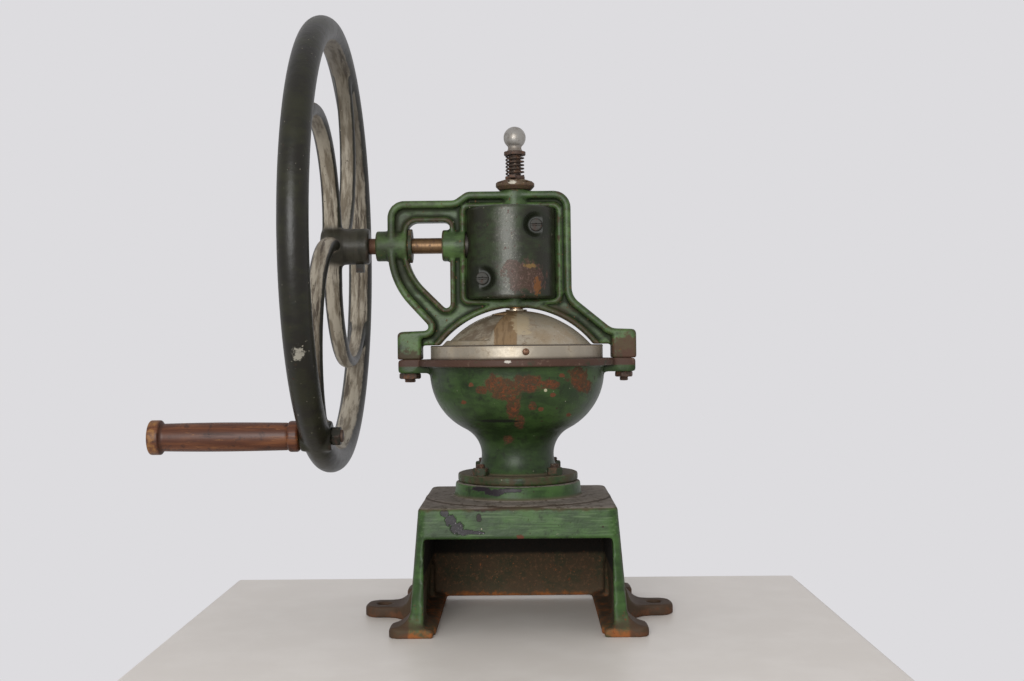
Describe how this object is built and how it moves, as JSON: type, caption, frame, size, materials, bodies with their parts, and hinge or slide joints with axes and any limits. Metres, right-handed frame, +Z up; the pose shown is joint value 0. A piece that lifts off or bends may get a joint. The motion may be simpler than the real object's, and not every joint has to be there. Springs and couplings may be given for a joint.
{
  "type": "hand crank coffee grinder",
  "caption": "Cast-iron flywheel coffee grinder: goblet hopper with a domed lid, bevel gearing in a bridge frame, wooden crank grip and a footed base over an open drawer space.",
  "frame": {"origin": "midway between the two bolt-down holes, on the base's underside", "axes": "+Z up along the burr axis, +X along the crank axis away from the flywheel, -Y out of the drawer mouth"},
  "size_m": [0.4355, 0.4, 0.527],
  "materials": {
    "green_paint": "worn semi-gloss green enamel on cast iron, rusty at the edges",
    "dark_paint": "worn dark green to black enamel on cast iron",
    "rusty_steel": "brown rusted steel",
    "worn_steel": "rubbed steel, browned",
    "gear_iron": "greased dark iron",
    "bronze": "dull bronze",
    "lid_sheet": "dull stained sheet",
    "knob_alloy": "hand-polished alloy",
    "grip_wood": "old varnished wood, darkened"
  },
  "bodies": {
    "stand": {"base": "green_paint", "hopper": "green_paint", "hopper_flange_studs": "rusty_steel", "hopper_flange_nuts": "green_paint", "bridge_frame": "green_paint", "left_rim_stud": "rusty_steel", "right_rim_stud": "rusty_steel", "left_rim_nut": "rusty_steel", "right_rim_nut": "rusty_steel", "front_gear_cover": "dark_paint", "rear_gear_cover": "dark_paint", "front_cover_screws": "rusty_steel", "rear_cover_screws": "rusty_steel", "outer_crank_bush": "bronze", "inner_crank_bush": "bronze", "spindle_bush": "bronze", "lower_spider": "gear_iron", "foot_bush": "bronze", "outer_burr": "gear_iron", "notched_disc": "rusty_steel", "lid_shell": "lid_sheet", "lid_ring": "lid_sheet", "lid_screws": "rusty_steel", "lid_eyelet": "worn_steel"},
    "crank": {"flywheel": "dark_paint", "flywheel_set_screw": "rusty_steel", "crank_shaft": "worn_steel", "shaft_collar": "rusty_steel", "handle_pin": "rusty_steel", "handle_nut": "rusty_steel", "pinion": "gear_iron", "pinion_pin": "worn_steel"},
    "grip": {"wooden_grip": "grip_wood"},
    "crown": {"crown_gear": "gear_iron", "feather_key": "worn_steel"},
    "spindle": {"spindle": "worn_steel", "inner_burr": "gear_iron", "burr_nut": "worn_steel", "swivel_cap": "worn_steel"},
    "index": {"index_collar": "rusty_steel"},
    "adjuster": {"adjusting_screw": "rusty_steel", "spring_washer": "rusty_steel", "adjuster_knob": "knob_alloy", "click_spring": "rusty_steel"},
    "shutter": {"lid_shutter": "lid_sheet"}
  },
  "joints": [
    {"name": "crank_spin", "type": "hinge", "parent": "stand", "child": "crank", "pos_m": [-0.11, 0, 0.327], "axis": [1, 0, 0], "continuous": true},
    {"name": "grip_spin", "type": "hinge", "parent": "crank", "child": "grip", "pos_m": [-0.24, -0.09159, 0.16511], "axis": [1, 0, 0], "continuous": true},
    {"name": "crown_spin", "type": "hinge", "parent": "stand", "child": "crown", "pos_m": [0, 0, 0.3], "axis": [0, 0, 1], "continuous": true},
    {"name": "burr_feed", "type": "slide", "parent": "crown", "child": "spindle", "axis": [0, 0, 1], "range_m": [-0.00152, 0.00152]},
    {"name": "adjuster_turn", "type": "hinge", "parent": "stand", "child": "index", "pos_m": [0, 0, 0.386], "axis": [0, 0, 1], "range_deg": [-362, 362]},
    {"name": "adjuster_travel", "type": "slide", "parent": "index", "child": "adjuster", "axis": [0, 0, 1], "range_m": [-0.0015, 0.0015], "deforming": ["click_spring"]},
    {"name": "shutter_swing", "type": "hinge", "parent": "stand", "child": "shutter", "pos_m": [0, 0, 0.25], "axis": [0, 0, 1], "range_deg": [-30, 56]}
  ],
  "couplings": [
    {"joint": "crown_spin", "follows": "crank_spin", "ratio": -0.66667},
    {"joint": "burr_feed", "follows": "adjuster_travel", "ratio": 1},
    {"joint": "adjuster_turn", "follows": "adjuster_travel", "rad_per_m": 4188.8}
  ]
}
